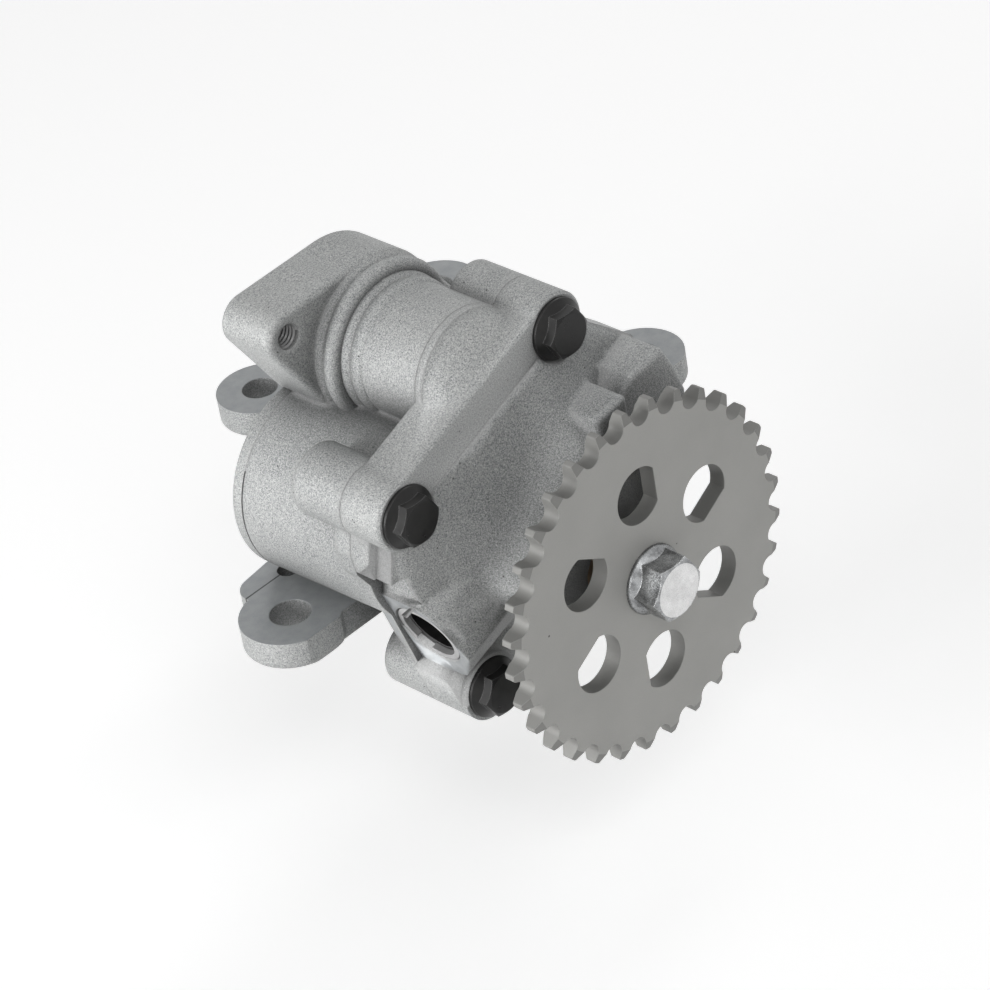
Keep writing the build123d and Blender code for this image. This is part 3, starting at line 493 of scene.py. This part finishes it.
def materials():
    cast = cast_aluminium()
    dress(cast, "front_housing", "pump_body", "rear_cover")
    front_casting(cast)
    for number, sizes in enumerate(DUCT_BEADS):
        duct_bead(number + 1, *sizes, cast)
    flange_threads(smooth_metal("cut_thread", level=0.3, metallic=0.3, rough=0.35))
    dress(sintered_steel("sintered_sprocket", level=0.42), "sprocket")
    dress(sintered_steel("sintered_gears", level=0.24), "drive_gear", "idler_gear")
    dress(black_oxide(), "housing_bolts", "cover_screws", "relief_seat", "relief_spring")
    dress(bright_zinc(), "sprocket_bolt")
    dress(smooth_metal("ground_steel", level=0.30, metallic=0.8, rough=0.3), "drive_shaft",
          "drive_key", "idler_pin", "housing_dowels", "relief_piston", "gallery_plug")
    dress(smooth_metal("ring_steel", level=0.42, metallic=0.5, rough=0.35), "relief_ring")
    dress(smooth_metal("bronze", level=0.4, metallic=1.0, rough=0.35, warm=0.3), "idler_bush",
          "front_shaft_bush", "body_shaft_bush")


def new_object(name, points, faces):
    """An object from points in millimetres, with every face of its closed mesh turned outwards."""
    mesh = bpy.data.meshes.new(name)
    mesh.from_pydata([Vector(point) * MM for point in points], [], faces)
    work = bmesh.new()
    work.from_mesh(mesh)
    bmesh.ops.recalc_face_normals(work, faces=work.faces)
    work.to_mesh(mesh)
    work.free()
    made = bpy.data.objects.new(name, mesh)
    bpy.context.scene.collection.objects.link(made)
    return made


def turned(step, steps):
    """The angle after some of the equal steps that make a full turn."""
    return 2 * math.pi * step / steps


def tube_faces(rings, sides, closed):
    """Quads between each ring of points and the next; a closed tube's last ring meets its first."""
    faces = []
    for ring in range(rings if closed else rings - 1):
        here, there = ring * sides, (ring + 1) % rings * sides
        for side in range(sides):
            other = (side + 1) % sides
            faces.append((here + side, here + other, there + other, there + side))
    return faces


def reach(circles, angle):
    """How far the band round some circles lies from the swell's centre in one direction."""
    distances = []
    for degrees in range(0, 360, BAND_STEP_DEGREES):
        normal = math.radians(degrees)
        cosine = math.cos(angle - normal)
        if cosine >= BAND_MIN_COSINE:
            nu, nv = math.cos(normal), math.sin(normal)
            height = max(u * nu + v * nv + r for u, v, r in circles)
            distances.append((height - SWELL_CENTRE[0] * nu - SWELL_CENTRE[1] * nv) / cosine)
    return min(distances)


def relief_point(along_y, down, inwards):
    """A point in millimetres given in the directions of the relief valve's end face."""
    cos, sin = math.cos(RELIEF_TILT), math.sin(RELIEF_TILT)
    x, y, z = RELIEF_FACE / MM
    return (x + down * sin + inwards * cos, y + along_y, z - down * cos + inwards * sin)


def swell():
    """A sleeve round the relief bore whose outside grows from the end face up into the nose."""
    angles = [turned(step, SWELL_POINTS) for step in range(SWELL_POINTS)]
    mouth = [reach(SWELL_MOUTH, angle) for angle in angles]
    root = [reach(SWELL_ROOT, angle) for angle in angles]
    rings = [(ring, False) for ring in range(SWELL_RINGS)]
    rings += [(ring, True) for ring in reversed(range(SWELL_RINGS))]
    points = []
    for ring, inner in rings:
        share = ring / (SWELL_RINGS - 1)
        inwards = SWELL_START + (SWELL_LENGTH - SWELL_START) * share
        for step, angle in enumerate(angles):
            if inner:
                u, v = SWELL_HOLE_R * math.cos(angle), SWELL_HOLE_R * math.sin(angle)
            else:
                r = mouth[step] + (root[step] - mouth[step]) * math.sin(share * math.pi / 2)
                u, v = SWELL_CENTRE[0] + r * math.cos(angle), SWELL_CENTRE[1] + r * math.sin(angle)
            points.append(relief_point(min(u, SWELL_BACK), v, inwards))
    return new_object("swell", points, tube_faces(len(rings), SWELL_POINTS, closed=True))


def block(name, points):
    """A block from eight corners: X varies slowest, then Y, and Z fastest."""
    faces = [(0, 1, 3, 2), (4, 6, 7, 5), (0, 4, 5, 1), (2, 3, 7, 6), (0, 2, 6, 4), (1, 5, 7, 3)]
    return new_object(name, points, faces)


def corner_cut():
    return block("corner_cut", [(x, y, z) for x, low, high in CORNER_CUT for y in CORNER_CUT_Y
                                for z in (low, high)])


def corner_fill():
    low, high = CORNER_FILL_Z
    left = [point for y, lower, upper in CORNER_FILL
            for point in ((lower, y, low), (upper, y, high))]
    right = [(CORNER_FILL_RIGHT, y, z) for _, y, z in left]
    return block("corner_fill", left + right)


def add_cast_piece(piece, material):
    piece.data.materials.clear()
    piece.data.materials.append(material)
    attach(piece, "housing")


def duct_bead(number, y, ring_r, bead_r, material):
    """A closed ring of round section about the suction duct."""
    points = []
    for step in range(BEAD_STEPS):
        angle = turned(step, BEAD_STEPS)
        for side in range(BEAD_SIDES):
            turn = turned(side, BEAD_SIDES)
            r = ring_r + bead_r * math.cos(turn)
            points.append((DUCT_X + r * math.cos(angle), y + bead_r * math.sin(turn),
                           DUCT_Z + r * math.sin(angle)))
    faces = tube_faces(BEAD_STEPS, BEAD_SIDES, closed=True)
    piece = new_object(f"duct_bead_{number}", points, faces)
    piece.data.shade_smooth()
    add_cast_piece(piece, material)


def front_casting(material):
    """The front housing with its cast swell over the relief valve, in place of the plain node."""
    node = NODES["front_housing"]
    piece = bpy.data.objects.new("front_casting", node.data.copy())
    piece.matrix_world = node.matrix_world
    bpy.context.scene.collection.objects.link(piece)
    tools = [("DIFFERENCE", corner_cut()), ("UNION", corner_fill()), ("UNION", swell())]
    for operation, tool in tools:
        change = piece.modifiers.new(tool.name, "BOOLEAN")
        change.operation = operation
        change.solver = "EXACT"
        change.object = tool
    seen = piece.evaluated_get(bpy.context.evaluated_depsgraph_get())
    mesh = bpy.data.meshes.new_from_object(seen)
    piece.modifiers.clear()
    piece.data = mesh
    for _, tool in tools:
        bpy.data.objects.remove(tool)
    mesh.shade_smooth()
    mesh.set_sharp_from_angle(angle=SHARP_ANGLE)
    add_cast_piece(piece, material)
    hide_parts("front_housing")


def flange_threads(material):
    """Thread turns in the two holes of the suction flange."""
    front = FLANGE_FRONT_Y / MM
    turns = (FLANGE_REAR_Y - FLANGE_FRONT_Y) / MM / THREAD_PITCH - 2 * THREAD_LEAD_IN
    profile = [(THREAD_R, -THREAD_FLANK), (THREAD_CREST_R, 0.0), (THREAD_R, THREAD_FLANK)]
    sides = len(profile)
    count = round(turns * THREAD_STEPS)
    for number, (x, z) in enumerate(FLANGE_HOLES):
        points = []
        for step in range(count + 1):
            angle = turned(step, THREAD_STEPS)
            y = front + THREAD_PITCH * (THREAD_LEAD_IN + step / THREAD_STEPS)
            for r, along in profile:
                points.append((x + r * math.cos(angle), y + along, z + r * math.sin(angle)))
        faces = tube_faces(count + 1, sides, closed=False)
        last = count * sides
        faces += [(0, 1, 2), (last + 2, last + 1, last)]
        piece = new_object(f"flange_thread_{number + 1}", points, faces)
        add_cast_piece(piece, material)


def floor():
    mesh = bpy.data.meshes.new("floor")
    half = FLOOR_HALF
    corners = [(-half, -half), (half, -half), (half, half), (-half, half)]
    height = cad_box[0][2] - FLOOR_DROP
    mesh.from_pydata([(x, y, height) for x, y in corners], [], [(0, 1, 2, 3)])
    ground = bpy.data.objects.new("floor", mesh)
    bpy.context.scene.collection.objects.link(ground)
    s = Shader("floor")
    s.set("Base Color", FLOOR_COLOUR)
    s.set("Roughness", FLOOR_ROUGHNESS)
    s.set("Emission Color", (1.0, 1.0, 1.0, 1.0))
    seen = s.node("ShaderNodeLightPath").outputs
    shown = s.math("MAXIMUM", seen["Is Camera Ray"], seen["Is Glossy Ray"])
    shown = s.math("MAXIMUM", shown, seen["Is Transmission Ray"])
    s.set("Emission Strength", s.times(shown, FLOOR_GLOW))
    mesh.materials.append(s.material)


def world():
    """A soft studio surround; the camera and reflections see plain white."""
    made = bpy.data.worlds.new("studio")
    bpy.context.scene.world = made
    made.use_nodes = True
    tree = made.node_tree
    tree.nodes.clear()
    output = tree.nodes.new("ShaderNodeOutputWorld")
    mixer = tree.nodes.new("ShaderNodeMixShader")
    for strength, place in ((AMBIENT, 1), (SEEN_WHITE, 2)):
        light = tree.nodes.new("ShaderNodeBackground")
        light.inputs["Color"].default_value = (1, 1, 1, 1)
        light.inputs["Strength"].default_value = strength
        tree.links.new(light.outputs[0], mixer.inputs[place])
    path = tree.nodes.new("ShaderNodeLightPath")
    seen = path.outputs["Is Camera Ray"]
    for other in ("Is Glossy Ray", "Is Transmission Ray"):
        either = tree.nodes.new("ShaderNodeMath")
        either.operation = "MAXIMUM"
        tree.links.new(seen, either.inputs[0])
        tree.links.new(path.outputs[other], either.inputs[1])
        seen = either.outputs[0]
    tree.links.new(seen, mixer.inputs["Fac"])
    tree.links.new(mixer.outputs[0], output.inputs["Surface"])


bpy.context.scene.view_settings.view_transform = "Standard"
camera()
lights()
world()
materials()
floor()
